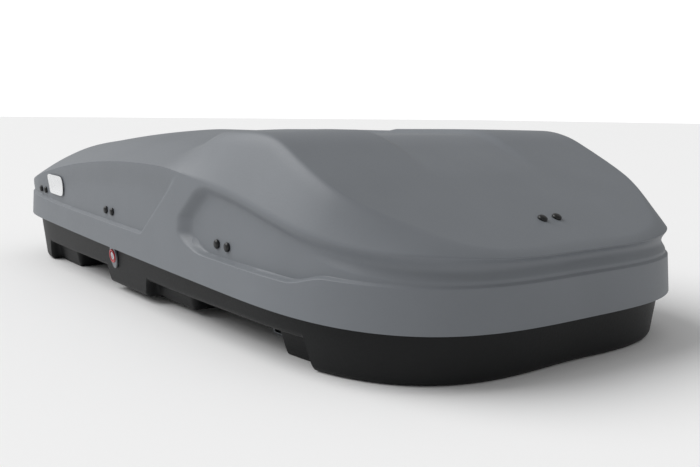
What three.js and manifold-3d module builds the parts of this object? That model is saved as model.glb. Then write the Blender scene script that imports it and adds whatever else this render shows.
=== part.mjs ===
// Roof cargo box: a thin hinged lid over a base tray, with hinges, gas struts,
// central locking and roof-bar clamps. Millimetres, +Z up, +X towards the nose,
// -Y the side that opens. Most pieces are set out in the rim frame, whose z is 0 on
// the lid's lower edge; the rim frame is tilted so that the underside stands level.
import * as THREE from 'three';
import { mergeVertices } from 'three/addons/utils/BufferGeometryUtils.js';
import Module from 'manifold-3d';

const wasm = await Module();
wasm.setup();

// ---- driving dimensions ----
const LENGTH = 1730;
const HALF_WIDTH = 445;
const NOSE_CAP = 465;          // length of the rounded nose in plan
const TAIL_CAP = 365;
const NOSE_POWER = 3.42;       // superellipse powers of the two caps
const TAIL_POWER = 3.33;
const SIDE_BOW = 0.028;        // the sides bow out and the plan narrows to the nose
const PLAN_TAPER = 0.05;
const SPINE_FRONT = 660;       // ends of the centre line that the roof and floor close on
const SPINE_REAR = -640;
const TILT = 0.0262;           // rim frame against the level underside, radians
const BASE_DEPTH = 107.6;      // rim to underside at x = 0
const LID_WALL = 4;
const BASE_WALL = 3.5;
const BASE_INSET = 20;
const LIP_TOP = 12;            // base lip stands this far up inside the lid
const BASE_DRAFT = 0.12;
const CHANNEL_LIFT = 50;       // roof-bar channels lie this far above the underside
const MIDDLE_LIFT = 14;        // the middle bulge is this much shallower
const MIDDLE_SPAN = [-400, -350, 350, 400];
const SIDE_STEP = [68, 50];    // where the channels widen, in from the outline
const FOOT_RADIUS = 14;
const FOOT_IN = 46;            // where the wall meets the floor, in from the outline
const RIVET_PITCH = 35.6;
const RIVET_HEIGHT = 76;
const FIXING_X = [395, -101, -563];  // hinges on +Y, latches on -Y
const AXIS_Y = 441;            // lid hinge line
const AXIS_Z = -10;
const GAP = 0.3;
const BAR_X = [445, -305];     // roof bars
const CLAMP_Y = 300;
const CLAW_TRAVEL = 12;
const STRUT_X = [355, -390];
const STRUT_FOOT = [214, -20]; // y and z of the strut's lower pivot
const STRUT_HEAD = [378, 130];
const LOCK_X = -103;
const LOCK_Z = -26;
const CAM_REACH = 20;
const CLAW_Y = [-391, -387];
const STRAP_X = [-10, 150];
const BADGE = { x: -455, z: 98, width: 100, height: 50 };

// ---- small mathematics ----
const clamp = (v, lo, hi) => Math.min(Math.max(v, lo), hi);
const smooth = (lo, hi, v) => {
  const t = clamp((v - lo) / (hi - lo), 0, 1);
  return t * t * (3 - 2 * t);
};
const mix = (a, b, t) => a + (b - a) * t;
const softMin = (a, b, k) => {
  const h = Math.max(k - Math.abs(a - b), 0) / k;
  return Math.min(a, b) - h * h * k / 4;
};

// ---- plan outline of the lid's lower edge ----
// Half outline, y >= 0: y is HALF_WIDTH along the side and a quarter superellipse
// on each cap, scaled by the bow and the taper.
function halfWidth(x) {
  const nose = Math.max(x - (LENGTH / 2 - NOSE_CAP), 0) / NOSE_CAP;
  const tail = Math.max(-x - (LENGTH / 2 - TAIL_CAP), 0) / TAIL_CAP;
  const s = x / (LENGTH / 2);
  const cap = Math.pow(Math.max(1 - Math.pow(nose, NOSE_POWER), 0), 1 / NOSE_POWER)
    * Math.pow(Math.max(1 - Math.pow(tail, TAIL_POWER), 0), 1 / TAIL_POWER);
  return HALF_WIDTH * cap * (1 - SIDE_BOW * s * s - PLAN_TAPER * s);
}

// Points round a cap, from the side to the centre line, by the superellipse angle.
function capPoints(sign, count) {
  const cap = sign > 0 ? NOSE_CAP : TAIL_CAP;
  const power = sign > 0 ? NOSE_POWER : TAIL_POWER;
  const spine = sign > 0 ? SPINE_FRONT : -SPINE_REAR;
  const start = Math.asin(Math.pow((spine + 12 - LENGTH / 2 + cap) / cap, power / 2));
  return Array.from({ length: count }, (_, i) => {
    const angle = mix(start, Math.PI / 2, i / (count - 1));
    const x = sign * (LENGTH / 2 - cap + cap * Math.pow(Math.sin(angle), 2 / power));
    const s = x / (LENGTH / 2);
    const y = HALF_WIDTH * Math.pow(Math.max(Math.cos(angle), 0), 2 / power)
      * (1 - SIDE_BOW * s * s - PLAN_TAPER * s);
    return [x, i === count - 1 ? 0 : y];
  });
}

// Columns of a shell: each starts on the outline and runs in to the centre line.
function columnsFor(sideX, capCount) {
  const half = [
    ...capPoints(-1, capCount).reverse(),
    ...sideX.map((x) => [x, halfWidth(x)]),
    ...capPoints(1, capCount),
  ];
  const lower = half.map(([x, y]) => [x, -y]);
  const upper = half.slice(1, -1).reverse();
  return [...lower, ...upper].map(([x, y]) => {
    const spine = clamp(x, SPINE_REAR, SPINE_FRONT);
    const span = Math.hypot(spine - x, y);
    return { x, y, spine, span, inX: (spine - x) / span, inY: -y / span };
  });
}

// ---- lid surface, in the rim frame ----
const bandHeight = (x) => 100 + 65 * (1 - smooth(330, 800, x));
const skirtHeight = (x) => mix(mix(58, 51, smooth(-700, -400, x)), 68, smooth(600, 680, x));
// Height of the deck along the centre, valley left out: it falls off towards the tail.
const deckLine = (x) => 264 + 0.03 * x - 42 * smooth(-80, -800, x) + 3 * smooth(100, 450, x);

// The soft crease along the side: a parabola over the rear, the band's upper edge in front.
function creaseHeight(x) {
  const rear = Math.max(197 - 1.42e-4 * Math.max(180 - x, 0) ** 2, 74);
  return mix(rear, bandHeight(x) + 16, smooth(150, 400, x));
}

// How far the wall is set in from the outline at height z: draft, the long rear
// panel, the front pocket with its bevelled rear edge, and the groove round the nose.
function wallInset(x, z) {
  const draft = mix(0.06, 0.12, smooth(600, 800, x)) * z;
  const ledge = skirtHeight(x);
  const band = bandHeight(x);
  const crease = creaseHeight(x);
  const rearEdge = 85 + 1.15 * (z - 50);
  const rear = 9 * (1 - smooth(rearEdge - 14, rearEdge, x)) * smooth(ledge, ledge + 5, z)
    * (1 - smooth(crease - 60, crease, z));
  const bevel = 245 + 0.075 * Math.max(85 - z, 0) ** 2 + 1.1 * Math.max(z - 110, 0);
  const depth = mix(15, 5, smooth(590, 740, x));
  const front = depth * smooth(bevel, bevel + 40, x) * smooth(ledge, ledge + 5, z)
    * (1 - smooth(band - 12, band + 14, z));
  const groove = 8 * smooth(600, 740, x) * Math.max(1 - ((z - band + 4) / 19) ** 2, 0) ** 1.5;
  return draft + rear + front + groove;
}

// Roof over the walls: the lower of the rising shoulder, the nose slope and the deck,
// with soft creases, and a shallow valley along the deck.
function roofHeight(x, y, shoulder) {
  const slope = 148 + 0.45 * (770 - x);
  const deck = deckLine(x) - mix(20, 5, smooth(-300, 450, x)) * (y / 400) ** 2;
  const valley = 10 * (1 - smooth(118, 150, Math.abs(y))) * (1 - smooth(480, 640, x))
    * smooth(-700, -500, x);
  return softMin(softMin(shoulder, slope, 22), deck, 24) - valley;
}

// How far the shoulder stands over the crease: at the rear a dome, in front a steep ramp.
function shoulderRise(x, inward, span) {
  const dome = (deckLine(x) + 8 - creaseHeight(x)) * (1 - (1 - inward / span) ** 2.8);
  const ramp = mix(2.3, 1.2, smooth(640, 800, x)) * inward;
  return mix(dome, ramp, smooth(150, 450, x));
}

function lidRows() {
  const wall = [0, 0.5, 1, 1.04, 1.5, 1.92, 2.5, 3].map((w) => ({ w }));
  const roof = [0.03, 0.07, 0.12, 0.2, 0.34, 0.62, 1].map((r) => ({ r }));
  return [...wall, ...roof];
}

// Height of wall row w: 0 rim, 1 ledge, 2 band, 3 crease.
function wallHeight(x, w) {
  const crease = creaseHeight(x);
  const marks = [0, skirtHeight(x), Math.min(bandHeight(x), crease - 16), crease];
  const k = Math.min(Math.floor(w), 2);
  const start = k === 1 ? marks[1] + 5 * smooth(0, 0.04, w - 1) : marks[k];
  return mix(start, marks[k + 1], w - k);
}

function lidPoint(column, row) {
  const crease = creaseHeight(column.x);
  const creaseInset = wallInset(column.x, crease);
  let inset;
  let z;
  if (row.w !== undefined) {
    z = wallHeight(column.x, row.w);
    inset = wallInset(column.x, z);
  } else {
    inset = mix(creaseInset, column.span, row.r);
    z = crease + shoulderRise(column.x, inset - creaseInset, column.span - creaseInset);
  }
  const x = column.x + column.inX * inset;
  const y = column.y + column.inY * inset;
  return [x, y, row.w === 0 ? 0 : roofHeight(x, y, z)];
}

// ---- base surface, in the rim frame ----
// Three bulges reach the level underside; between them lie two channels for the
// roof bars, wider near the sides than inboard.
const CHANNELS = [
  { inboard: [200, 225, 508, 530], outboard: [40, 62, 614, 634] },
  { inboard: [-450, -425, -185, -160], outboard: [-605, -580, -165, -140] },
];
const band4 = (x, [a, b, c, d]) => smooth(a, b, x) * (1 - smooth(c, d, x));

function undersideHeight(x, y) {
  const edge = halfWidth(x);
  const side = smooth(edge - SIDE_STEP[0], edge - SIDE_STEP[1], Math.abs(y));
  const lift = CHANNELS.reduce((sum, channel) =>
    sum + mix(band4(x, channel.inboard), band4(x, channel.outboard), side), 0);
  const middle = MIDDLE_LIFT * band4(x, MIDDLE_SPAN);
  return -BASE_DEPTH + Math.tan(TILT) * x + Math.max(CHANNEL_LIFT * lift, middle);
}

function baseRows() {
  const wall = [0, 0.5, 1].map((w) => ({ w }));
  const foot = [0.5, 1].map((f) => ({ f }));
  const floor = [0.06, 0.11, 0.4, 0.7, 1].map((r) => ({ r }));
  return [...wall, ...foot, ...floor];
}

function basePoint(column, row) {
  const low = undersideHeight(column.x + column.inX * FOOT_IN, column.y + column.inY * FOOT_IN);
  const wallFoot = low + FOOT_RADIUS;
  const insetAt = (z) => BASE_INSET + BASE_DRAFT * (LIP_TOP - z);
  let z;
  let inset;
  if (row.w !== undefined) {
    z = mix(LIP_TOP, wallFoot, row.w);
    inset = insetAt(z);
  } else if (row.f !== undefined) {
    const angle = row.f * Math.PI / 2;
    z = low + FOOT_RADIUS * (1 - Math.sin(angle));
    inset = insetAt(wallFoot) + FOOT_RADIUS * (1 - Math.cos(angle));
  } else {
    inset = mix(insetAt(wallFoot) + FOOT_RADIUS, column.span, row.r);
  }
  const x = column.x + column.inX * inset;
  const y = column.y + column.inY * inset;
  return [x, y, z === undefined ? undersideHeight(x, y) : z];
}

// ---- solids ----
function toManifold(geometry) {
  const bare = geometry.clone();
  bare.deleteAttribute('normal');
  bare.deleteAttribute('uv');
  const welded = mergeVertices(bare, 1e-4);
  return new wasm.Manifold(new wasm.Mesh({
    numProp: 3,
    vertProperties: new Float32Array(welded.attributes.position.array),
    triVerts: new Uint32Array(welded.index.array),
  }));
}

function toGeometry(manifold) {
  const { vertProperties, triVerts } = manifold.getMesh();
  const geometry = new THREE.BufferGeometry();
  geometry.setAttribute('position', new THREE.BufferAttribute(vertProperties, 3));
  geometry.setIndex(new THREE.BufferAttribute(triVerts, 1));
  geometry.computeVertexNormals();
  return geometry;
}

const join = (...pieces) => toGeometry(pieces.map(toManifold).reduce((a, b) => a.add(b)));
const cut = (body, ...tools) =>
  toGeometry(tools.map(toManifold).reduce((a, b) => a.subtract(b), toManifold(body)));

// A closed thin shell: columns x rows of outer points, offset inwards by the wall
// along vertex normals, with the lip joining the two skins. The last row is the
// centre line, whose points are shared by the two sides.
function thinShell(columns, rows, pointAt, wall) {
  const count = columns.length;
  const last = rows.length - 1;
  const points = [];
  rows.slice(0, last).forEach((row) => columns.forEach((c) => points.push(pointAt(c, row))));
  const spine = new Map();
  columns.forEach((c) => {
    const key = c.spine.toFixed(2);
    if (spine.has(key)) return;
    spine.set(key, points.length);
    points.push(pointAt(c, rows[last]));
  });
  const at = (row, i) => (row < last ? row * count + (i % count)
    : spine.get(columns[i % count].spine.toFixed(2)));
  const faces = [];
  const rising = points[count][2] > points[0][2];
  const corners = rising ? [[0, 1, 2], [0, 2, 3]] : [[0, 2, 1], [0, 3, 2]];
  for (let row = 0; row < last; row += 1) {
    for (let i = 0; i < count; i += 1) {
      const quad = [at(row, i), at(row, i + 1), at(row + 1, i + 1), at(row + 1, i)];
      corners.forEach((tri) => {
        const face = tri.map((k) => quad[k]);
        if (new Set(face).size === 3) faces.push(face);
      });
    }
  }
  const normals = points.map(() => new THREE.Vector3());
  const corner = (i) => new THREE.Vector3(...points[i]);
  faces.forEach(([a, b, c]) => {
    const n = corner(b).sub(corner(a)).cross(corner(c).sub(corner(a)));
    [a, b, c].forEach((i) => normals[i].add(n));
  });
  const inner = points.map((p, i) => {
    if (i < count) return [p[0] + columns[i].inX * wall, p[1] + columns[i].inY * wall, p[2]];
    const n = normals[i].normalize();
    return [p[0] - n.x * wall, p[1] - n.y * wall, p[2] - n.z * wall];
  });
  const shift = points.length;
  const all = [...faces];
  faces.forEach(([a, b, c]) => all.push([a + shift, c + shift, b + shift]));
  for (let i = 0; i < count; i += 1) {
    const j = (i + 1) % count;
    if (rising) all.push([j, i, i + shift], [j, i + shift, j + shift]);
    else all.push([i, j, i + shift], [j, j + shift, i + shift]);
  }
  const geometry = new THREE.BufferGeometry();
  const flat = new Float32Array([...points, ...inner].flat());
  geometry.setAttribute('position', new THREE.BufferAttribute(flat, 3));
  geometry.setIndex(all.flat());
  return toGeometry(toManifold(geometry));
}

function box(x0, x1, y0, y1, z0, z1) {
  const g = new THREE.BoxGeometry(x1 - x0, y1 - y0, z1 - z0);
  return g.translate((x0 + x1) / 2, (y0 + y1) / 2, (z0 + z1) / 2);
}

// A cylinder from point a to point b.
function rod(a, b, radius, sides = 16) {
  const start = new THREE.Vector3(...a);
  const end = new THREE.Vector3(...b);
  const along = end.clone().sub(start);
  const g = new THREE.CylinderGeometry(radius, radius, along.length(), sides);
  const turn = new THREE.Quaternion().setFromUnitVectors(
    new THREE.Vector3(0, 1, 0), along.clone().normalize());
  const middle = start.add(end).multiplyScalar(0.5);
  return g.applyQuaternion(turn).translate(middle.x, middle.y, middle.z);
}

// A flat closed outline of [y, z] points, extruded along x from x0 to x1.
function profileAlongX(points, x0, x1) {
  const shape = new THREE.Shape(points.map(([y, z]) => new THREE.Vector2(y, z)));
  const g = new THREE.ExtrudeGeometry(shape, { depth: x1 - x0, bevelEnabled: false });
  const turn = new THREE.Matrix4().makeBasis(
    new THREE.Vector3(0, 1, 0), new THREE.Vector3(0, 0, 1), new THREE.Vector3(1, 0, 0));
  return g.applyMatrix4(turn).translate(x0, 0, 0);
}

// A strip of sheet that follows [y, z] points, thick across the path.
function stripAlongX(path, thick, x0, x1) {
  const v = path.map(([y, z]) => new THREE.Vector2(y, z));
  const sideOf = (i) => {
    const before = v[Math.max(i - 1, 0)];
    const after = v[Math.min(i + 1, v.length - 1)];
    const run = after.clone().sub(before).normalize();
    return new THREE.Vector2(-run.y, run.x).multiplyScalar(thick / 2);
  };
  const left = v.map((p, i) => p.clone().add(sideOf(i)));
  const right = v.map((p, i) => p.clone().sub(sideOf(i))).reverse();
  return profileAlongX([...left, ...right].map((p) => [p.x, p.y]), x0, x1);
}

// A rivet: domed head outside, shank through the wall. `out` points outwards.
function rivet(centre, out, shankStart) {
  const n = new THREE.Vector3(...out).normalize();
  const p = new THREE.Vector3(...centre);
  const shank = rod(p.clone().addScaledVector(n, -shankStart).toArray(),
    p.clone().addScaledVector(n, 2.4).toArray(), 3, 10);
  const head = new THREE.LatheGeometry([
    new THREE.Vector2(0, 1.6), new THREE.Vector2(8, 1.6), new THREE.Vector2(7.6, 3),
    new THREE.Vector2(5, 5), new THREE.Vector2(0, 6)], 12);
  const turn = new THREE.Quaternion().setFromUnitVectors(new THREE.Vector3(0, 1, 0), n);
  head.applyQuaternion(turn).translate(p.x, p.y, p.z);
  return [shank, head];
}

const material = (color, roughness, metalness = 0) =>
  new THREE.MeshStandardMaterial({ color, roughness, metalness });
const paint = {
  lid: () => material(0x70747a, 0.55),
  base: () => material(0x1d1e20, 0.45),
  black: () => material(0x101112, 0.35),
  rubber: () => material(0x161616, 0.8),
  steel: () => material(0xa9adb2, 0.35, 1),
  darkSteel: () => material(0x3a3d40, 0.4, 1),
  red: () => material(0xb3262e, 0.4),
  silver: () => material(0xc9ccd0, 0.25, 1),
  webbing: () => material(0x26282b, 0.9),
  badge: () => material(0xe6e7e8, 0.4),
};

const root = new THREE.Group();
const rimFrame = new THREE.Group();
rimFrame.rotation.y = TILT;
rimFrame.position.z = BASE_DEPTH * Math.cos(TILT);
const levelFrame = new THREE.Group();
root.add(rimFrame, levelFrame);

function put(group, name, geometry, look) {
  const mesh = new THREE.Mesh(geometry, look());
  mesh.name = name;
  group.add(mesh);
}

// Moves a tool made in the level frame into the rim frame.
function levelToRim(geometry) {
  rimFrame.updateMatrix();
  return geometry.applyMatrix4(rimFrame.matrix.clone().invert());
}

// Inner face of the lid wall, as a positive y.
const lidInnerY = (x, z) => halfWidth(x) - wallInset(x, z) - LID_WALL;
const rivetSeat = (x) => Math.max(...[x - 8, x, x + 8].map((v) =>
  halfWidth(v) - wallInset(v, RIVET_HEIGHT)));
const rivetXs = (x) => [x - RIVET_PITCH / 2, x + RIVET_PITCH / 2];
const NOSE_RIVET = { x: 770, out: [0.41, 0, 0.912] };
const noseRivets = () => rivetXs(0).map((y) =>
  [NOSE_RIVET.x, y, roofHeight(NOSE_RIVET.x, y, 400)]);

function sideRivets(side) {
  return FIXING_X.flatMap((x) => rivetXs(x).map((rx) =>
    [rx, side * (halfWidth(rx) - wallInset(rx, RIVET_HEIGHT)), RIVET_HEIGHT]));
}

// A thin plate that follows the opening side's wall over a rectangle of x and z.
function wallPlate({ x, z, width, height }, y0, y1) {
  const g = new THREE.BoxGeometry(width, y1 - y0, height, 4, 1, 4);
  g.translate(x, (y0 + y1) / 2, z);
  const p = g.attributes.position;
  for (let i = 0; i < p.count; i += 1) {
    p.setY(i, p.getY(i) - halfWidth(p.getX(i)) + wallInset(p.getX(i), p.getZ(i)));
  }
  return toGeometry(toManifold(g));
}

function addLid() {
  const sideX = [-610, -540, -470, -400, -330, -260, -190, -120, -60, 0, 50, 90, 130, 180, 230,
    260, 300, 340, 390, 440, 490, 540, 590, 630];
  const shell = thinShell(columnsFor(sideX, 9), lidRows(), lidPoint, LID_WALL);
  const holes = [-1, 1].flatMap((side) => sideRivets(side).map(([x, y, z]) =>
    rod([x, y - 14, z], [x, y + 14, z], 3.6, 10)));
  const n = new THREE.Vector3(...NOSE_RIVET.out);
  noseRivets().forEach((p) => {
    const c = new THREE.Vector3(...p);
    holes.push(rod(c.clone().addScaledVector(n, -14).toArray(),
      c.clone().addScaledVector(n, 14).toArray(), 3.6, 10));
  });
  put(rimFrame, 'lid_shell', cut(shell, ...holes), paint.lid);
  put(rimFrame, 'badge_plate', wallPlate(BADGE, -4.4, -2.6), paint.badge);
}

function addBase() {
  const sideX = CHANNELS.flatMap((c) => [...c.inboard, ...c.outboard])
    .filter((x) => x < SPINE_FRONT && x > SPINE_REAR).concat([-520, -330, -60, 130, 375, 445])
    .sort((a, b) => a - b);
  const shell = thinShell(columnsFor(sideX, 9), baseRows(), basePoint, BASE_WALL);
  const holes = BAR_X.flatMap((x) => [-1, 1].map((side) =>
    levelToRim(rod([x + 34, side * CLAMP_Y, 30], [x + 34, side * CLAMP_Y, 80], 5, 12))));
  const lockHole = lockPlace(rod([0, -20, 0], [0, 20, 0], 13, 20));
  put(rimFrame, 'base_shell', cut(shell, ...holes, lockHole), paint.base);
  addEdgeTrim(columnsFor(sideX, 9));
}

// A rubber edging that rides on the base lip.
function addEdgeTrim(columns) {
  const count = columns.length;
  const section = [[18.5, LIP_TOP + GAP], [25.5, LIP_TOP + GAP], [25.5, 18], [18.5, 18]];
  const points = section.flatMap(([d, z]) =>
    columns.map((c) => [c.x + c.inX * d, c.y + c.inY * d, z]));
  const faces = [];
  for (let s = 0; s < 4; s += 1) {
    for (let i = 0; i < count; i += 1) {
      const j = (i + 1) % count;
      const a = s * count;
      const b = ((s + 1) % 4) * count;
      faces.push(a + i, b + j, a + j, a + i, b + i, b + j);
    }
  }
  const g = new THREE.BufferGeometry();
  g.setAttribute('position', new THREE.BufferAttribute(new Float32Array(points.flat()), 3));
  g.setIndex(faces);
  put(rimFrame, 'edge_trim', g, paint.rubber);
}

// ---- lock, on the outside of the opening side's wall ----
// Local frame: the wall's outer face is y = 0 and -Y points out of it.
function lockPlace(geometry) {
  const inset = BASE_INSET + BASE_DRAFT * (LIP_TOP - LOCK_Z);
  const lean = Math.atan(BASE_DRAFT);
  return geometry.rotateX(lean).translate(LOCK_X, -(halfWidth(LOCK_X) - inset), LOCK_Z);
}

function ovalPlate(halfX, halfZ, y0, y1) {
  const shape = new THREE.Shape().absellipse(0, 0, halfX, halfZ, 0, Math.PI * 2);
  const g = new THREE.ExtrudeGeometry(shape, { depth: y1 - y0, bevelEnabled: false, curveSegments: 12 });
  return g.rotateX(Math.PI / 2).translate(0, y1, 0);
}

function addLock() {
  const plate = ovalPlate(17, 29, -4.6, -0.6);
  const boss = rod([0, -2, 0], [0, 14, 0], 12, 20);
  const bore = rod([0, -30, 0], [0, 30, 0], 9.6, 20);
  put(rimFrame, 'lock_housing', lockPlace(cut(join(plate, boss), bore)), paint.steel);
  const ring = cut(rod([0, -7.4, 0], [0, -4.9, 0], 15.5, 24), rod([0, -9, 0], [0, -3, 0], 11, 20));
  put(rimFrame, 'lock_ring', lockPlace(ring), paint.red);
  const barrel = cut(rod([0, -6.6, 0], [0, 22, 0], 9, 20), box(-1.2, 1.2, -8, 0, -5, 5));
  put(rimFrame, 'lock_barrel', lockPlace(barrel), paint.silver);
  const arm = box(-5, 5, 22.3, 25.5, -6, CAM_REACH + 4);
  const pin = rod([0, 24, CAM_REACH], [0, 30.5, CAM_REACH], 2.5, 12);
  const cam = join(arm, pin).rotateY(-Math.PI / 4);
  put(rimFrame, 'lock_cam', lockPlace(cam), paint.darkSteel);
}

// ---- central locking: a sliding bar with three claws ----
function addLatchBar() {
  const bar = box(-605, 445, -399.5, -396.5, 2, 12);
  const pinX = -CAM_REACH * Math.SQRT1_2;
  const tab = cut(box(pinX - 12, pinX + 12, 26.3, 28.8, 7, 34),
    box(pinX - 3.6, pinX + 3.6, 20, 40, 10.5, 25));
  put(rimFrame, 'latch_bar', join(bar, lockPlace(tab)), paint.darkSteel);
  FIXING_X.forEach((x, i) => {
    const foot = box(x - 45, x - 34, -396.2, CLAW_Y[1], 0, 10);
    const post = box(x - 45, x - 34, CLAW_Y[0], CLAW_Y[1], 0, 36);
    const finger = box(x - 35, x - 12, CLAW_Y[0], CLAW_Y[1], 30, 36);
    put(rimFrame, `latch_claw_${i + 1}`, join(foot, post, finger), paint.darkSteel);
  });
}

function addStrikers() {
  FIXING_X.forEach((x, i) => {
    const wallY = -(Math.min(...[x - 26, x, x + 26].map((v) => lidInnerY(v, 92)),
      ...[x - 26, x + 26].map((v) => lidInnerY(v, 62))) - 2.6);
    const plate = box(x - 26, x + 26, wallY, wallY + 2.5, 58, 92);
    const web = box(x - 13, x + 13, Math.min(wallY, -396), -393, 56, 60);
    const leg = box(x - 13, x + 13, -396, -393, 18, 60);
    const pin = rod([x, -394, 24], [x, CLAW_Y[1] + 2, 24], 4, 12);
    const rivets = rivetXs(x).flatMap((rx) => {
      const outer = -rivetSeat(rx);
      return rivet([rx, outer, RIVET_HEIGHT], [0, -1, 0], wallY + 1 - outer);
    });
    put(rimFrame, `striker_${i + 1}`, join(plate, web, leg, pin, ...rivets), paint.black);
  });
}

// ---- hinges on the closed side ----
function addHinges() {
  FIXING_X.forEach((x, i) => {
    const edge = halfWidth(x);
    const wallAt = (z) => edge - BASE_INSET - BASE_DRAFT * (LIP_TOP - z);
    const bore = rod([x - 40, AXIS_Y, AXIS_Z], [x + 40, AXIS_Y, AXIS_Z], 2.6, 12);
    const knuckle = (x0, x1) => rod([x0, AXIS_Y, AXIS_Z], [x1, AXIS_Y, AXIS_Z], 5.2, 14);
    const plate = stripAlongX([[wallAt(-18) + 2.8, -18], [wallAt(-46) + 2.8, -46]], 2.5, x - 22, x + 22);
    const arm = box(x - 20, x - 0.5, wallAt(-20) + 2, AXIS_Y, -22, -18);
    const web = box(x - 20, x - 0.5, AXIS_Y - 4, AXIS_Y + 2, -22, AXIS_Z);
    put(rimFrame, `hinge_base_leaf_${i + 1}`,
      cut(join(plate, arm, web, knuckle(x - 20, x - 0.5)), bore), paint.darkSteel);
    put(rimFrame, `hinge_pin_${i + 1}`,
      rod([x - 21, AXIS_Y, AXIS_Z], [x + 21, AXIS_Y, AXIS_Z], 2.5, 12), paint.steel);
    const inside = Math.min(AXIS_Y, edge - LID_WALL - 6);
    const wallY = Math.min(...[x - 26, x, x + 26].flatMap((v) =>
      [lidInnerY(v, 92), lidInnerY(v, 62)])) - 3.8;
    const path = [[AXIS_Y, -9], [inside, -4], [inside - 1, 26], [wallY, 42], [wallY, 92]];
    const strap = stripAlongX(path, 2.5, x + 0.5, x + 20);
    const pad = box(x - 26, x + 26, wallY - 1.25, wallY + 1.25, 60, 92);
    const rivets = rivetXs(x).flatMap((rx) => {
      const outer = rivetSeat(rx);
      return rivet([rx, outer, RIVET_HEIGHT], [0, 1, 0], outer - wallY);
    });
    put(rimFrame, `hinge_lid_leaf_${i + 1}`,
      cut(join(strap, pad, knuckle(x + 0.5, x + 20), ...rivets), bore), paint.black);
  });
}

// ---- gas struts ----
function addStruts() {
  const foot = new THREE.Vector2(...STRUT_FOOT);
  const head = new THREE.Vector2(...STRUT_HEAD);
  const run = head.clone().sub(foot).normalize();
  const along = (x, d) => [x, foot.x + run.x * d, foot.y + run.y * d];
  const length = foot.distanceTo(head);
  STRUT_X.forEach((x, i) => {
    const floor = undersideHeight(x, foot.x) + BASE_WALL;
    const ear = (x0, x1) => box(x0, x1, foot.x - 9, foot.x + 9, floor + 0.9, foot.y + 9);
    const hole = rod([x - 20, foot.x, foot.y], [x + 20, foot.x, foot.y], 4.2, 12);
    const sole = box(x - 12, x + 12, foot.x - 16, foot.x + 16, floor + 0.9, floor + 4);
    put(rimFrame, `strut_base_bracket_${i + 1}`,
      cut(join(ear(x - 12, x - 8.5), ear(x + 8.5, x + 12), sole), hole), paint.darkSteel);
    const eye = rod([x - 8, foot.x, foot.y], [x + 8, foot.x, foot.y], 7, 14);
    const pin = rod([x - 13, foot.x, foot.y], [x + 13, foot.x, foot.y], 3.5, 12);
    const neck = rod(along(x, 2), along(x, 20), 5, 12);
    const tube = rod(along(x, 16), along(x, 150), 9, 16);
    const bore = rod(along(x, 30), along(x, 160), 4.1, 14);
    put(rimFrame, `strut_tube_${i + 1}`, cut(join(tube, neck, eye, pin), bore), paint.black);
    const shaft = rod(along(x, 34), along(x, length - 4), 4, 14);
    const headEye = rod([x - 6, head.x, head.y], [x + 6, head.x, head.y], 7, 14);
    const headBore = rod([x - 9, head.x, head.y], [x + 9, head.x, head.y], 4.5, 12);
    put(rimFrame, `strut_rod_${i + 1}`, cut(join(shaft, headEye), headBore), paint.silver);
    const wallY = Math.min(...[x - 22, x, x + 22].flatMap((v) =>
      [lidInnerY(v, head.y - 14), lidInnerY(v, head.y + 14)])) - 1;
    const plate = box(x - 22, x + 22, wallY - 2.5, wallY, head.y - 13, head.y + 13);
    const cheek = (x0, x1) => box(x0, x1, head.x - 7, wallY - 1, head.y - 7, head.y + 7);
    put(rimFrame, `strut_lid_bracket_${i + 1}`,
      join(plate, cheek(x - 11, x - 7.5), cheek(x + 7.5, x + 11)), paint.darkSteel);
  });
}

function addNoseBracket() {
  const n = new THREE.Vector3(...NOSE_RIVET.out).normalize();
  const centre = new THREE.Vector3(NOSE_RIVET.x, 0, roofHeight(NOSE_RIVET.x, 0, 400));
  const lean = Math.atan2(n.x, n.z);
  const depth = LID_WALL + 1;
  const plate = box(-16, 16, -34, 34, -depth - 2.5, -depth).rotateY(lean)
    .translate(centre.x, centre.y, centre.z);
  const rib = box(-16, 16, -2, 2, -depth - 14, -depth - 1).rotateY(lean)
    .translate(centre.x, centre.y, centre.z);
  const rivets = noseRivets().flatMap((p) => rivet(p, NOSE_RIVET.out, depth + 1));
  put(rimFrame, 'nose_bracket', join(plate, rib, ...rivets), paint.black);
}

// ---- roof-bar clamps, in the level frame ----
// The screw stands beside the bar; the claw hooks under it and rises as the knob turns.
function addClamps() {
  const floor = CHANNEL_LIFT * Math.cos(TILT) + BASE_WALL;
  let number = 0;
  BAR_X.forEach((x) => [-1, 1].forEach((side) => {
    number += 1;
    const y = side * CLAMP_Y;
    const screwX = x + 34;
    const plate = box(x - 50, x + 58, y - 24, y + 24, floor + 0.6, floor + 4.6);
    const hole = rod([screwX, y, 0], [screwX, y, 120], 4.6, 14);
    put(levelFrame, `clamp_plate_${number}`, cut(plate, hole), paint.darkSteel);
    const shaft = rod([screwX, y, 22], [screwX, y, floor + 8], 4, 14);
    const grip = rod([screwX, y, floor + 5], [screwX, y, floor + 27], 19, 10);
    put(levelFrame, `clamp_knob_${number}`, join(shaft, grip), paint.red);
    const block = box(screwX - 12, screwX + 14, y - 15, y + 15, 26, 49 - CLAW_TRAVEL);
    const leg = box(screwX + 8, screwX + 14, y - 15, y + 15, 3, 36);
    const lip = box(x - 40, screwX + 14, y - 15, y + 15, 3, 8);
    const tip = box(x - 40, x - 35, y - 15, y + 15, 3, 16);
    const clear = rod([screwX, y, 10], [screwX, y, 60], 4.6, 14);
    put(levelFrame, `clamp_claw_${number}`, cut(join(block, leg, lip, tip), clear), paint.steel);
  }));
}

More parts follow.
